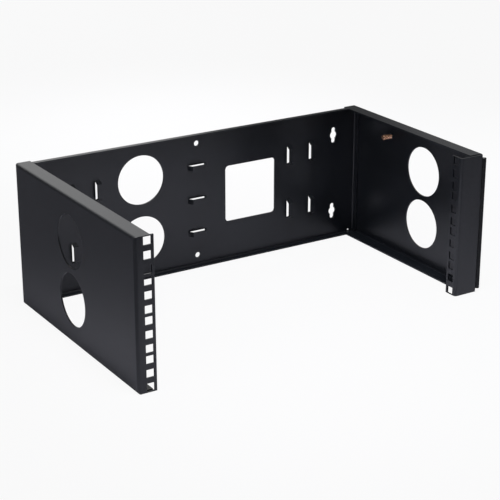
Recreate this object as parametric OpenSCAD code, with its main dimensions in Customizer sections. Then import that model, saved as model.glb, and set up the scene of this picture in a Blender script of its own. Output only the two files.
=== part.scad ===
// Wall bracket for 19 inch rack panels, four units high, with a rail that swings out.
// Two folded side panels are spot-welded to a shallow folded back panel. The left side
// panel carries a fixed rack rail. The right one is shallower and carries a continuous
// hinge, on which a second rack rail turns. It is drawn folded inwards, as delivered.
// A quarter turn out brings its holes level with the fixed rail.
// Millimetres. X runs across the rack, Y from the front to the wall, and Z is up.
// The origin is at the foot, in the middle of the rack opening and of the depth.

/* [Overall] */
// Height of the bracket in rack units
rack_units = 4; // [4:1:6]
// Height of one rack unit
unit_h = 44.45; // [44:0.05:46]
// How much lower than its rack units the bracket is
height_allowance = 1.0; // [0.4:0.1:2]
// Depth from the front face of the fixed rail to the wall
overall_d = 297; // [290:1:450]

/* [Sheet] */
// Thickness of the sheet steel
sheet_t = 1.9; // [1.5:0.1:2.1]
// Inside radius of every bend
bend_r = 1.5; // [1:0.1:2.5]
// Clear gap where two welded sheets stand edge to face
seam_gap = 0.2; // [0.1:0.05:0.5]

/* [Rack rails] */
// Clear width between the two rails, which ends both of them
rack_opening = 450; // [448:0.5:455]
// Width of the fixed rail
rail_w = 22.65; // [20:0.05:32]
// Distance of a hole row from its rail's free edge
hole_edge = 7.55; // [6.6:0.05:8.6]
// Height of the lowest hole in each rack unit
first_hole = 6.35; // [6:0.05:7]
// Step between the three holes of a rack unit
hole_step = 15.875; // [15:0.005:16]
// Side of a square rail hole
square_hole = 9.5; // [8:0.1:9.7]

/* [Side panels] */
// Width of the top and bottom flanges
side_flange_w = 19.05; // [15:0.05:22]
// Width of the rear flange behind the back panel
rear_flange_w = 19.05; // [15:0.05:22]
// How far the rear flange stops short of the top and bottom
corner_relief = 7.5; // [5:0.5:12]
// Diameter of the cable holes in the sides
side_hole_d = 63.5; // [40:0.5:66]
// Height between the two cable holes of a side
side_hole_pitch = 69.85; // [68:0.05:76]
// Distance of the left cable holes from the wall
left_hole_back = 143; // [100:1:180]
// Distance of the right cable holes from the wall
right_hole_back = 149.5; // [100:0.5:180]

/* [Back panel] */
// Width of the back panel's four flanges
back_flange_w = 9.5; // [6:0.1:14]
// Width of the notches in the back panel's corners
notch_w = 3.5; // [2:0.1:5]
// Height of these notches
notch_h = 4.8; // [3:0.1:8]
// How far these notches lie beyond the ends of the top and bottom flanges
notch_shift = 6.9; // [3:0.1:9]
// How far the pattern of the back panel lies off the rack's centre line
pattern_shift = -4.6; // [-6:0.1:0]
// How far the openings of the back and the sides lie above mid-height
pattern_lift = 0.7; // [0:0.1:2]
// Distance of the cable openings from the middle of the pattern
opening_offset = 79.4; // [70:0.1:90]
// Diameter of the round cable openings
round_opening_d = 63.5; // [40:0.5:70]
// Height between the two round cable openings
round_opening_pitch = 79.4; // [72:0.1:84]
// Side of the square cable opening
square_opening = 75; // [50:1:90]
// Corner radius of the square cable opening
square_opening_r = 5; // [2:0.5:12]
// Diameter of the two plain screw holes
screw_hole_d = 7.1; // [5:0.1:9]
// Height between the two plain screw holes
screw_hole_pitch = 149.2; // [120:0.1:155]
// How far the keyholes lie inside the edges of the rack opening
keyhole_inset = 15.7; // [12:0.1:24]
// Height between the two keyholes of a side
keyhole_pitch = 105.8; // [90:0.1:120]
// Diameter of the round middle of a keyhole
keyhole_d = 10.5; // [9:0.1:12]
// Width of a keyhole's slots
keyhole_slot_w = 6.3; // [5:0.1:8]
// Height of a keyhole over both slots
keyhole_h = 21.3; // [18:0.1:26]

/* [Tie bridges] */
// Length of the slot under a bridge
bridge_l = 23; // [18:0.5:26]
// Width of a bridge
bridge_w = 6; // [4:0.5:8]
// Clear height under a bridge
bridge_h = 4.8; // [3:0.1:5.4]
// Length of each sloping end of a bridge
bridge_ramp = 3; // [2:0.1:5]
// Height between the level bridges in the middle
level_bridge_pitch = 43.9; // [35:0.1:46]
// Distance of the inner upright bridges from the middle of the pattern
inner_bridge_offset = 139; // [132:0.5:144]
// Distance of the outer upright bridges from the middle of the pattern
outer_bridge_offset = 173.5; // [160:0.5:182]
// Height between the two rows of upright bridges
upright_bridge_pitch = 74.1; // [60:0.1:90]

/* [Hinge] */
// Distance of the pin from the front face of the rails
rail_reach = 34.7; // [28:0.1:45]
// Distance of the pin beyond the rack opening
pin_offset = 17.45; // [15:0.05:22]
// Diameter of the hinge pin
pin_d = 2.5; // [2.1:0.1:3]
// Running clearance around the pin
pin_fit = 0.05; // [0.02:0.01:0.08]
// Thickness of the hinge leaves
leaf_t = 1.5; // [0.8:0.1:1.6]
// Width of a leaf from the pin's centre to its free edge
leaf_w = 14; // [9:0.5:20]
// Number of knuckles, an odd number
knuckle_count = 13; // [7:2:19]
// Gap between neighbouring knuckles
knuckle_gap = 0.2; // [0.1:0.05:0.5]
// How far the hinge stops short of the top and bottom
hinge_inset = 4.9; // [4:0.1:12]
// Gap between the folded rail and the front edge of the right side panel
fold_gap = 0.5; // [0.4:0.1:2]
// How far the swing rail stops short of the top and bottom
rail_end_gap = 0.5; // [0.3:0.1:2]

/* [Ground stud] */
// Diameter of the ground stud
stud_d = 6.35; // [4:0.05:8]
// Length of the ground stud, with its weld flange
stud_l = 14.6; // [10:0.1:25]
// Diameter of the stud's weld flange
stud_flange_d = 8; // [8:0.1:12]
// Thickness of the stud's weld flange
stud_flange_t = 1.6; // [0.6:0.1:2]
// Distance of the stud from the wall
stud_back = 82.8; // [40:0.1:110]
// Distance of the stud below the top
stud_drop = 22.3; // [12:0.1:40]

/* [Hidden] */
$fn = 64;

// Number of holes in one rack unit
unit_hole_count = 3;
overall_h = rack_units * unit_h - height_allowance;
hole_row_spacing = rack_opening + 2 * hole_edge;
pattern_h = overall_h / 2 + pattern_lift;
keyhole_offset = rack_opening / 2 - keyhole_inset;
// A little more than any cut needs, so that it clears both faces
past = 1;

front_y = -overall_d / 2;
wall_y = overall_d / 2;
left_x = -rack_opening / 2 - rail_w;

// The hinge's pin sets where the right side panel stands. The side leaf lies on its inner face.
bore_r = pin_d / 2 + pin_fit;
knuckle_r = bore_r + leaf_t;
pin_x = rack_opening / 2 + pin_offset;
pin_y = front_y + rail_reach;
right_x = pin_x - knuckle_r + leaf_t + sheet_t;
right_front_y = pin_y + knuckle_r + fold_gap;
hinge_l = overall_h - 2 * hinge_inset;
knuckle_pitch = hinge_l / knuckle_count;

// The swing rail's blank leg lies on the rail leaf, and its holed leg runs back from it
rail_x = pin_x - rail_reach;
rail_front_y = pin_y + knuckle_r - leaf_t - sheet_t;
rail_hinge_x = pin_x - knuckle_r - seam_gap;
rail_rear_y = pin_y + pin_x - rack_opening / 2;
rail_hole_y = pin_y + pin_x - hole_row_spacing / 2;

// The back panel stands on the rear flanges of the side panels
back_y = wall_y - sheet_t;
back_left_x = left_x + sheet_t + seam_gap;
back_right_x = right_x - sheet_t - seam_gap;
back_fold_left_x = left_x + side_flange_w + seam_gap;
back_fold_right_x = right_x - side_flange_w - seam_gap;

// Heights of all the rail holes above the foot
rail_hole_zs = [for (u = [0:rack_units - 1], k = [0:unit_hole_count - 1])
    u * unit_h + first_hole + k * hole_step - height_allowance / 2];

// Outline of a folded wall: a rectangle with its web edge at x = 0 and its two web
// corners rounded. The near end can stay square where the wall has no flange.
module fold_outline(w, l, r, near_round) {
    translate([r, 0]) square([w - r, l]);
    translate([0, near_round ? r : 0]) square([r, l - r - (near_round ? r : 0)]);
    translate([r, l - r]) circle(r);
    if (near_round) translate([r, r]) circle(r);
}

// A block that is rounded along its upright and its level web edges
module fold_block(w, d, h, r, front_round) {
    intersection() {
        linear_extrude(h) fold_outline(w, d, r, front_round);
        translate([0, d, 0]) rotate([90, 0, 0]) linear_extrude(d) fold_outline(w, h, r, true);
    }
}

// A side panel as a folded tray with its web at x = 0, open towards +X. The rail flange
// is at the front, the rear flange stops short at both ends, and the two level flanges
// run along the whole depth.
module side_tray(d, rail_w) {
    w = max(side_flange_w, rear_flange_w, rail_w);
    has_rail = rail_w > 0;
    cavity_y = has_rail ? sheet_t : -past;
    difference() {
        fold_block(w, d, overall_h, bend_r + sheet_t, has_rail);
        translate([sheet_t, cavity_y, sheet_t])
            fold_block(w, d - cavity_y - sheet_t, overall_h - 2 * sheet_t, bend_r, has_rail);
        // Free edges of the level flanges, behind the rail
        translate([side_flange_w, cavity_y, -past])
            cube([w, d - cavity_y - sheet_t, overall_h + 2 * past]);
        // Free edge of the rear flange
        translate([rear_flange_w, d - sheet_t - past, -past])
            cube([w, sheet_t + 2 * past, overall_h + 2 * past]);
        // Free edge of the rail
        if (has_rail) translate([rail_w, -past, -past])
            cube([w, sheet_t + 2 * past, overall_h + 2 * past]);
        // Relief between the rear flange and the level flanges
        for (z = [sheet_t, overall_h - corner_relief])
            translate([sheet_t + bend_r, d - sheet_t - past / 2, z])
                cube([w, sheet_t + past, corner_relief - sheet_t]);
    }
}

// The two cable holes through a side panel's web
module side_holes(back) {
    for (s = [-1, 1])
        translate([-past, overall_d / 2 - back, pattern_h + s * side_hole_pitch / 2])
            rotate([0, 90, 0]) cylinder(d = side_hole_d, h = sheet_t + 2 * past);
}

// A column of square holes through a sheet that faces Y, with its face at y = 0
module rail_holes() {
    for (z = rail_hole_zs)
        translate([-square_hole / 2, -past, z - square_hole / 2])
            cube([square_hole, sheet_t + 2 * past, square_hole]);
}

module left_side_panel() {
    color([0.20, 0.20, 0.22]) difference() {
        translate([left_x, front_y, 0]) side_tray(overall_d, rail_w);
        translate([left_x, 0, 0]) side_holes(left_hole_back);
        translate([-hole_row_spacing / 2, front_y, 0]) rail_holes();
    }
}

module right_side_panel() {
    color([0.20, 0.20, 0.22]) difference() {
        translate([right_x, right_front_y, 0]) mirror([1, 0, 0])
            side_tray(wall_y - right_front_y, 0);
        translate([right_x, 0, 0]) mirror([1, 0, 0]) side_holes(right_hole_back);
    }
}

// Outline of the square cable opening, with round corners
module soft_square(size, r) {
    square([size, size - 2 * r], center = true);
    square([size - 2 * r, size], center = true);
    for (x = [-1, 1], y = [-1, 1])
        translate([x * (size / 2 - r), y * (size / 2 - r)]) circle(r);
}

// Outline of a keyhole with a slot above and below its round middle
module keyhole_outline() {
    end = keyhole_h / 2 - keyhole_slot_w / 2;
    circle(d = keyhole_d);
    square([keyhole_slot_w, 2 * end], center = true);
    for (s = [-1, 1]) translate([0, s * end]) circle(d = keyhole_slot_w);
}

// All places of the tie bridges: across, up, and turned upright or not
level_bridges = [for (s = [-1:1]) [0, s * level_bridge_pitch, 0]];
upright_bridges = [for (x = [inner_bridge_offset, outer_bridge_offset], a = [-1, 1], b = [-1, 1])
    [a * x, b * upright_bridge_pitch / 2, 90]];
bridges = concat(level_bridges, upright_bridges);

// Every opening of the back panel as one flat outline around the pattern's middle
module back_openings() {
    for (s = [-1, 1]) {
        translate([-opening_offset, s * round_opening_pitch / 2]) circle(d = round_opening_d);
        translate([0, s * screw_hole_pitch / 2]) circle(d = screw_hole_d);
        for (a = [-1, 1]) translate([a * keyhole_offset, s * keyhole_pitch / 2]) keyhole_outline();
    }
    translate([opening_offset, 0]) soft_square(square_opening, square_opening_r);
    for (b = bridges)
        translate([b[0], b[1]]) rotate(b[2]) square([bridge_l, bridge_w], center = true);
}

// One tie bridge, pushed forward out of the sheet, whose front face is at y = 0
module bridge() {
    half = bridge_l / 2;
    top = half - bridge_ramp;
    translate([0, 0, -bridge_w / 2]) linear_extrude(bridge_w) difference() {
        polygon([[-half - sheet_t, sheet_t], [-half - sheet_t, 0],
            [-top - sheet_t / 2, -bridge_h - sheet_t], [top + sheet_t / 2, -bridge_h - sheet_t],
            [half + sheet_t, 0], [half + sheet_t, sheet_t]]);
        polygon([[-half, sheet_t + past], [-half, 0], [-top, -bridge_h],
            [top, -bridge_h], [half, 0], [half, sheet_t + past]]);
    }
}

// Section of the back panel: a web at x = 0 and a flange at both ends
module back_section(l) {
    difference() {
        fold_outline(back_flange_w, l, bend_r + sheet_t, true);
        translate([sheet_t, sheet_t]) fold_outline(back_flange_w, l - 2 * sheet_t, bend_r, true);
    }
}

// The back panel without its openings. Its top and bottom flanges stop at the side panels'
// level flanges, and its end flanges lie on the side panels' webs.
module back_sheet() {
    fold_l = back_fold_right_x - back_fold_left_x;
    end_z = sheet_t + bend_r + seam_gap;
    flat_x = back_left_x + bend_r + sheet_t;
    flat_z = sheet_t + seam_gap;
    difference() {
        union() {
            translate([back_fold_left_x, back_y, 0]) rotate([0, 0, 90]) rotate([90, 0, 0])
                mirror([1, 0, 0]) linear_extrude(fold_l) back_section(overall_h);
            translate([back_left_x, back_y, end_z]) rotate([0, 0, -90])
                linear_extrude(overall_h - 2 * end_z) back_section(back_right_x - back_left_x);
            translate([flat_x, back_y - sheet_t, flat_z])
                cube([back_right_x - bend_r - sheet_t - flat_x, sheet_t, overall_h - 2 * flat_z]);
        }
        // Notches in the four corners
        for (x = [back_fold_left_x - notch_shift - notch_w, back_fold_right_x + notch_shift],
                z = [-past, overall_h - notch_h])
            translate([x, back_y - sheet_t - past, z])
                cube([notch_w, sheet_t + 2 * past, notch_h + past]);
    }
}

module back_panel() {
    color([0.18, 0.18, 0.21]) {
        difference() {
            back_sheet();
            translate([pattern_shift, back_y + past, pattern_h]) rotate([90, 0, 0])
                linear_extrude(sheet_t + 2 * past) back_openings();
        }
        for (b = bridges)
            translate([pattern_shift + b[0], back_y - sheet_t, pattern_h + b[1]])
                rotate([0, b[2], 0]) bridge();
    }
}

// Outline of the swing rail's angle, with its outer corner at the origin
module rail_outline() {
    leg = rail_hinge_x - rail_x;
    holed = rail_rear_y - rail_front_y;
    r = bend_r + sheet_t;
    difference() {
        union() {
            translate([r, 0]) square([leg - r, holed]);
            translate([0, r]) square([r, holed - r]);
            translate([r, r]) circle(r);
        }
        translate([sheet_t, sheet_t]) {
            translate([bend_r, 0]) square([leg, holed]);
            translate([0, bend_r]) square([bend_r, holed]);
            translate([bend_r, bend_r]) circle(bend_r);
        }
    }
}

module swing_rail() {
    color([0.24, 0.24, 0.26]) difference() {
        translate([rail_x, rail_front_y, rail_end_gap])
            linear_extrude(overall_h - 2 * rail_end_gap) rail_outline();
        translate([rail_x + sheet_t, rail_hole_y, 0]) rotate([0, 0, 90]) rail_holes();
    }
}

// A hinge leaf around a pin on the Z axis. Its plate runs towards +Y, tangent to the
// knuckles on their -X side. The first knuckle index says which knuckles it has.
module hinge_leaf(first) {
    plate_y = knuckle_r + seam_gap;
    difference() {
        union() {
            translate([-knuckle_r, plate_y, hinge_inset])
                cube([leaf_t, leaf_w - plate_y, hinge_l]);
            for (i = [first:2:knuckle_count - 1])
                translate([0, 0, hinge_inset + i * knuckle_pitch + knuckle_gap / 2]) {
                    cylinder(r = knuckle_r, h = knuckle_pitch - knuckle_gap);
                    translate([-knuckle_r, 0, 0])
                        cube([leaf_t, plate_y, knuckle_pitch - knuckle_gap]);
                }
        }
        translate([0, 0, hinge_inset - past]) cylinder(r = bore_r, h = hinge_l + 2 * past);
    }
}

module hinge_side_leaf() {
    color([0.16, 0.16, 0.18]) translate([pin_x, pin_y, 0]) hinge_leaf(0);
}

module hinge_rail_leaf() {
    color([0.16, 0.16, 0.18]) translate([pin_x, pin_y, 0])
        mirror([0, 1, 0]) rotate([0, 0, 90]) hinge_leaf(1);
}

module hinge_pin() {
    color([0.55, 0.55, 0.57]) translate([pin_x, pin_y, hinge_inset])
        cylinder(d = pin_d, h = hinge_l);
}

module ground_stud() {
    color([0.72, 0.42, 0.24])
        translate([right_x - sheet_t, wall_y - stud_back, overall_h - stud_drop])
            rotate([0, -90, 0]) {
                cylinder(d = stud_flange_d, h = stud_flange_t);
                cylinder(d = stud_d, h = stud_l);
            }
}

back_panel();
left_side_panel();
right_side_panel();
swing_rail();
hinge_side_leaf();
hinge_rail_leaf();
hinge_pin();
ground_stud();
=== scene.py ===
"""Looks of a wall bracket for 19 inch rack panels: folded sheet steel under a satin powder
coat, a painted continuous hinge and a copper-flashed ground stud. Lengths are in metres."""

import math

import bmesh
import bpy
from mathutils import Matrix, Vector


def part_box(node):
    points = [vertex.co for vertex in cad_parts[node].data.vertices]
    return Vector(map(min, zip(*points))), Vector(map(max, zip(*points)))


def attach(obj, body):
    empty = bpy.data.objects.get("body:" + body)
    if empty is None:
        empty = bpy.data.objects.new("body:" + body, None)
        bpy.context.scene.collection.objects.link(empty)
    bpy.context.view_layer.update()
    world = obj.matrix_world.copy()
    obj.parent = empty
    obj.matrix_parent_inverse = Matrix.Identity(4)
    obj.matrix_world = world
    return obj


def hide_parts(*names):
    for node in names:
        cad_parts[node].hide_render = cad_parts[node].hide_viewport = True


MM = 0.001

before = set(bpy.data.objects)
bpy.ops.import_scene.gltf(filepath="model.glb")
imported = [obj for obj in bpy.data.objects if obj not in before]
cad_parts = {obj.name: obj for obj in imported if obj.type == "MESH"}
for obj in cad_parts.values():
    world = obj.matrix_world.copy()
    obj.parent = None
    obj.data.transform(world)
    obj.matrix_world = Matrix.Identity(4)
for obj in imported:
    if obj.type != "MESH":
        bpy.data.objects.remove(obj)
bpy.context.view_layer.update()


# Node helpers
def new_material(name):
    """An empty node material, its tree and its Principled shader."""
    mat = bpy.data.materials.new(name)
    mat.use_nodes = True
    tree = mat.node_tree
    shader = tree.nodes["Principled BSDF"]
    return mat, tree, shader


def object_noise(tree, scale, detail=2.0, roughness=0.5):
    """A noise in the object's own metres, so its grain keeps its size on every piece."""
    coords = tree.nodes.new("ShaderNodeTexCoord")
    noise = tree.nodes.new("ShaderNodeTexNoise")
    noise.inputs["Scale"].default_value = scale
    noise.inputs["Detail"].default_value = detail
    noise.inputs["Roughness"].default_value = roughness
    tree.links.new(coords.outputs["Object"], noise.inputs["Vector"])
    return noise.outputs["Fac"]


def remap(tree, value, low, high, from_low=0.3, from_high=0.7):
    """Stretches a value between two limits."""
    node = tree.nodes.new("ShaderNodeMapRange")
    node.inputs["From Min"].default_value = from_low
    node.inputs["From Max"].default_value = from_high
    node.inputs["To Min"].default_value = low
    node.inputs["To Max"].default_value = high
    tree.links.new(value, node.inputs["Value"])
    return node.outputs["Result"]


def blend_colours(tree, factor, first, second):
    """A colour between two colours, by a factor."""
    node = tree.nodes.new("ShaderNodeMix")
    node.data_type = "RGBA"
    node.inputs[6].default_value = (*first, 1.0)
    node.inputs[7].default_value = (*second, 1.0)
    tree.links.new(factor, node.inputs[0])
    return node.outputs[2]


def add_bump(tree, height, distance, strength, normal=None):
    """A bump of the given depth in metres."""
    node = tree.nodes.new("ShaderNodeBump")
    node.inputs["Distance"].default_value = distance
    node.inputs["Strength"].default_value = strength
    tree.links.new(height, node.inputs["Height"])
    if normal is not None:
        tree.links.new(normal, node.inputs["Normal"])
    return node.outputs["Normal"]


# Materials
# The coat flows over the sheared edges and rounds them this much
EDGE_ROUND = 0.35 * MM
EDGE_SAMPLES = 6

# Noise scales, in cycles for each metre
CLOUD_SCALE = 14.0
PEEL_SCALE = 620.0
GRAIN_SCALE = 2600.0
WIRE_SCALE = 3000.0
TARNISH_SCALE = 420.0

COAT_DARK = (0.0050, 0.0064, 0.0094)
COAT_LIGHT = (0.0076, 0.0092, 0.0130)
# The hinge has the same coat as the panels; these darker tones are painted shade, standing in for the
# shade the hinge barrel lies in
HINGE_SHADED_DARK = (0.0022, 0.0026, 0.0036)
HINGE_SHADED_LIGHT = (0.0034, 0.0040, 0.0054)
WIRE_DARK = (0.42, 0.42, 0.43)
WIRE_LIGHT = (0.62, 0.62, 0.63)
COPPER_DARK = (0.72, 0.34, 0.19)
COPPER_LIGHT = (0.95, 0.60, 0.42)


def powder_coat(name, dark, light, rough_low, rough_high, peel_depth, index):
    """Satin powder coat: a fine peel, a slow drift of tone and an uneven sheen."""
    mat, tree, shader = new_material(name)
    cloud = object_noise(tree, CLOUD_SCALE, 3.0)
    grain = object_noise(tree, GRAIN_SCALE, 1.0)
    peel = object_noise(tree, PEEL_SCALE, 2.0, 0.6)
    tone = blend_colours(tree, remap(tree, cloud, 0.0, 1.0), dark, light)
    tree.links.new(tone, shader.inputs["Base Color"])
    tree.links.new(remap(tree, grain, rough_low, rough_high), shader.inputs["Roughness"])
    edges = tree.nodes.new("ShaderNodeBevel")
    edges.samples = EDGE_SAMPLES
    edges.inputs["Radius"].default_value = EDGE_ROUND
    coarse = add_bump(tree, peel, peel_depth, 0.8, edges.outputs["Normal"])
    fine = add_bump(tree, grain, peel_depth * 0.25, 0.6, coarse)
    tree.links.new(fine, shader.inputs["Normal"])
    shader.inputs["IOR"].default_value = index
    return mat


def drawn_steel():
    """Bright drawn wire for the pin's ends, with a fine grain."""
    mat, tree, shader = new_material("drawn_steel")
    grain = object_noise(tree, WIRE_SCALE)
    tone = blend_colours(tree, grain, WIRE_DARK, WIRE_LIGHT)
    tree.links.new(tone, shader.inputs["Base Color"])
    tree.links.new(remap(tree, grain, 0.25, 0.4), shader.inputs["Roughness"])
    shader.inputs["Metallic"].default_value = 1.0
    return mat


def copper_flash():
    """Thin copper on a steel stud, slightly tarnished in the thread."""
    mat, tree, shader = new_material("copper_flash")
    tarnish = object_noise(tree, TARNISH_SCALE, 3.0)
    tone = blend_colours(tree, remap(tree, tarnish, 0.0, 1.0), COPPER_DARK, COPPER_LIGHT)
    tree.links.new(tone, shader.inputs["Base Color"])
    tree.links.new(remap(tree, tarnish, 0.22, 0.36), shader.inputs["Roughness"])
    shader.inputs["Metallic"].default_value = 1.0
    return mat


COAT = powder_coat("powder_coat", COAT_DARK, COAT_LIGHT, 0.27, 0.34, 0.012 * MM, 1.6)
# A darker, rougher copy of the powder coat for the hinge leaves and barrel: the darkness is painted
# shade, not a different paint
SHADED_HINGE_COAT = powder_coat("hinge_coat", HINGE_SHADED_DARK, HINGE_SHADED_LIGHT, 0.44, 0.54, 0.010 * MM, 1.4)
STEEL = drawn_steel()
COPPER = copper_flash()

FINISH = {
    "back_panel": COAT,
    "left_side_panel": COAT,
    "right_side_panel": COAT,
    "swing_rail": COAT,
    "hinge_side_leaf": SHADED_HINGE_COAT,
    "hinge_rail_leaf": SHADED_HINGE_COAT,
    "hinge_pin": STEEL,
    "ground_stud": COPPER,
}

for node_name, finish in FINISH.items():
    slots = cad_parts[node_name].material_slots
    for material_slot in slots:
        material_slot.material = finish


# Pieces
EDGE_ANGLE = 40.0
STUD_R = 3.175 * MM
STUD_SIDES = 48
THREAD_PITCH = 1.27 * MM
THREAD_STEPS = 10
THREAD_DEPTH = 0.62 * MM
THREAD_ROOT = THREAD_DEPTH * 0.85
TIP_L = 0.9 * MM
TIP_DROP = THREAD_DEPTH * 1.1
COLLAR_L = 1.6 * MM


def add_ring(grid, x, middle, radii):
    """A ring of points round the stud's axis, one for each radius."""
    ring = []
    for corner, radius in enumerate(radii):
        angle = 2.0 * math.pi * corner / len(radii)
        ring.append(grid.verts.new((
            x,
            middle.y + radius * math.cos(angle),
            middle.z + radius * math.sin(angle),
        )))
    return ring


def make_turned_piece(name, grid, rings, material):
    """Closes rings of points to a solid piece with smooth sides and crisp edges."""
    for first, second in zip(rings, rings[1:]):
        for corner in range(len(first)):
            after = (corner + 1) % len(first)
            grid.faces.new((first[corner], first[after], second[after], second[corner]))
    grid.faces.new(rings[0])
    grid.faces.new(list(reversed(rings[-1])))
    bmesh.ops.recalc_face_normals(grid, faces=grid.faces)
    mesh = bpy.data.meshes.new(name)
    grid.to_mesh(mesh)
    grid.free()
    mesh.materials.append(material)
    piece = bpy.data.objects.new(name, mesh)
    bpy.context.scene.collection.objects.link(piece)
    mesh.shade_smooth()
    mesh.set_sharp_from_angle(angle=math.radians(EDGE_ANGLE))
    return piece


def thread_radius(along, corner, from_tip):
    """The thread's radius at a place along the stud and a corner round it."""
    phase = (along / THREAD_PITCH + corner / STUD_SIDES) % 1.0
    groove = THREAD_DEPTH * abs(2.0 * phase - 1.0)
    radius = STUD_R - min(groove, THREAD_ROOT)
    if from_tip < TIP_L:
        radius = min(radius, STUD_R - TIP_DROP * (1.0 - from_tip / TIP_L))
    return radius


def add_stud():
    """The ground stud: a rolled thread with its chamfered tip, on a collar painted with the panel."""
    low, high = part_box("ground_stud")
    middle = (Vector(low) + Vector(high)) / 2
    length = high[0] - low[0]
    collar_r = (high[1] - low[1]) / 2

    grid = bmesh.new()
    steps = int(round((length - COLLAR_L) / THREAD_PITCH * THREAD_STEPS))
    rings = []
    for turn in range(steps + 1):
        along = length - turn * THREAD_PITCH / THREAD_STEPS
        radii = [thread_radius(along, corner, length - along) for corner in range(STUD_SIDES)]
        rings.append(add_ring(grid, high[0] - along, middle, radii))
    stud = make_turned_piece("threaded_stud", grid, rings, COPPER)

    grid = bmesh.new()
    profile = (
        (0.0, collar_r),
        (COLLAR_L * 0.45, collar_r),
        (COLLAR_L * 0.75, collar_r * 0.94),
        (COLLAR_L, STUD_R * 1.04),
    )
    rings = [add_ring(grid, high[0] - along, middle, [radius] * STUD_SIDES) for along, radius in profile]
    collar = make_turned_piece("weld_collar", grid, rings, COAT)

    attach(stud, "bracket")
    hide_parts("ground_stud")
    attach(collar, "bracket")
    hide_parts("ground_stud")


add_stud()


# Stage
FLOOR_SIZE = 12.0
FLOOR_DROP = 0.5 * MM
FLOOR_COLOUR = (0.485, 0.485, 0.55, 1.0)
FLOOR_WHITE_SHARE = 0.93
WHITE = (1.0, 1.0, 1.0, 1.0)


def add_floor():
    """A pale floor that the camera sees as white, with a trace of the object's shadow."""
    bpy.ops.mesh.primitive_plane_add(size=FLOOR_SIZE, location=(0.0, 0.0, -FLOOR_DROP))
    floor = bpy.context.object
    floor.name = "floor"
    mat = bpy.data.materials.new("pale_floor")
    mat.use_nodes = True
    tree = mat.node_tree
    tree.nodes.clear()
    out = tree.nodes.new("ShaderNodeOutputMaterial")
    diffuse = tree.nodes.new("ShaderNodeBsdfDiffuse")
    diffuse.inputs["Color"].default_value = FLOOR_COLOUR
    white = tree.nodes.new("ShaderNodeEmission")
    white.inputs["Color"].default_value = WHITE
    white.inputs["Strength"].default_value = 1.0
    path = tree.nodes.new("ShaderNodeLightPath")
    share = tree.nodes.new("ShaderNodeMath")
    share.operation = "MULTIPLY"
    share.inputs[1].default_value = FLOOR_WHITE_SHARE
    mix = tree.nodes.new("ShaderNodeMixShader")
    tree.links.new(path.outputs["Is Camera Ray"], share.inputs[0])
    tree.links.new(share.outputs[0], mix.inputs[0])
    tree.links.new(diffuse.outputs[0], mix.inputs[1])
    tree.links.new(white.outputs[0], mix.inputs[2])
    tree.links.new(mix.outputs[0], out.inputs["Surface"])
    floor.data.materials.append(mat)


def set_world(strength):
    """A soft, even sky that the camera sees as plain white."""
    world = bpy.data.worlds.new("studio")
    bpy.context.scene.world = world
    world.use_nodes = True
    tree = world.node_tree
    tree.nodes.clear()
    out = tree.nodes.new("ShaderNodeOutputWorld")
    sky = tree.nodes.new("ShaderNodeBackground")
    sky.inputs["Color"].default_value = WHITE
    sky.inputs["Strength"].default_value = strength
    white = tree.nodes.new("ShaderNodeBackground")
    white.inputs["Color"].default_value = WHITE
    white.inputs["Strength"].default_value = 1.0
    path = tree.nodes.new("ShaderNodeLightPath")
    mix = tree.nodes.new("ShaderNodeMixShader")
    tree.links.new(path.outputs["Is Camera Ray"], mix.inputs[0])
    tree.links.new(sky.outputs[0], mix.inputs[1])
    tree.links.new(white.outputs[0], mix.inputs[2])
    tree.links.new(mix.outputs[0], out.inputs["Surface"])


def add_lamp(name, data, place, target):
    """Puts a lamp at a place and points it at a target."""
    lamp = bpy.data.objects.new(name, data)
    bpy.context.scene.collection.objects.link(lamp)
    lamp.location = place
    direction = Vector(target) - Vector(place)
    lamp.rotation_euler = direction.to_track_quat("-Z", "Y").to_euler()


def add_soft_light(name, place, target, size, power):
    """A square soft box that looks at a target."""
    data = bpy.data.lights.new(name, "AREA")
    data.shape = "SQUARE"
    data.size = size
    data.energy = power
    add_lamp(name, data, place, target)


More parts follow.
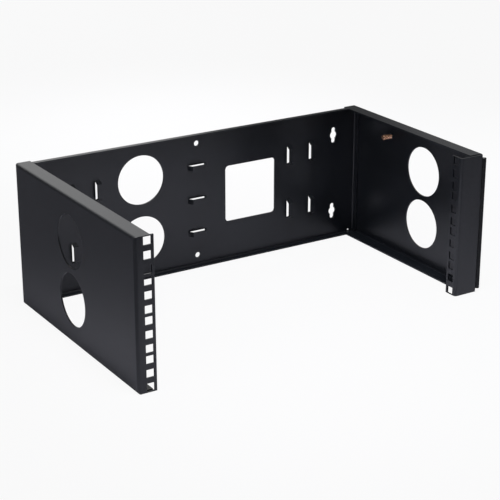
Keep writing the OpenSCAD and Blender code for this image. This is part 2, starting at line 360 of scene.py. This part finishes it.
def add_pool(name, place, target, cone, power):
    """A soft round lamp whose pool of light on the floor fades outwards."""
    data = bpy.data.lights.new(name, "SPOT")
    data.spot_size = math.radians(cone)
    data.spot_blend = 1.0
    data.shadow_soft_size = POOL_LAMP_R
    data.energy = power
    add_lamp(name, data, place, target)


SKY_STRENGTH = 0.12
POOL_LAMP_R = 0.2
CENTRE = (0.0, 0.0, 0.1)

# Name, place, middle of the pool on the floor, cone in degrees and power in watts
POOLS = (
    ("overhead", (-0.1, -0.4, 1.6), (0.0, -0.16, 0.0), 35.0, 122.0),
    ("front_right", (0.8, -0.8, 1.4), (0.6, -0.56, 0.0), 40.0, 28.0),
    ("back", (0.26, 1.0, 1.8), (0.26, 0.64, 0.0), 31.0, 240.0),
    ("right", (1.1, 0.1, 1.8), (0.84, 0.0, 0.0), 36.0, 200.0),
)

# Name, place, target, width and power in watts
SOFT_LIGHTS = (
    ("left_fill", (-1.7, -0.4, 0.8), CENTRE, 0.8, 8.5),
    ("behind", (0.24, 2.0, 0.9), CENTRE, 1.6, 7.2),
    ("right_behind", (2.2, 1.6, 1.0), CENTRE, 1.2, 1.1),
)

add_floor()
set_world(SKY_STRENGTH)
for pool in POOLS:
    add_pool(*pool)
for soft_light in SOFT_LIGHTS:
    add_soft_light(*soft_light)


# Camera, as solved from the photograph's straight edges
CAMERA_PLACE = (-0.9029, -1.4176, 0.7015)
CAMERA_YAW = 32.028
CAMERA_PITCH = 20.698
CAMERA_LENS = 107.92
SENSOR_WIDTH = 36.0


def add_camera():
    """A camera that looks from the front left, a little from above."""
    data = bpy.data.cameras.new("camera")
    data.sensor_width = SENSOR_WIDTH
    data.lens = CAMERA_LENS
    camera = bpy.data.objects.new("camera", data)
    bpy.context.scene.collection.objects.link(camera)
    camera.location = CAMERA_PLACE
    camera.rotation_euler = (math.radians(90.0 - CAMERA_PITCH), 0.0, math.radians(-CAMERA_YAW))
    bpy.context.scene.camera = camera


add_camera()
bpy.context.scene.view_settings.view_transform = "Standard"
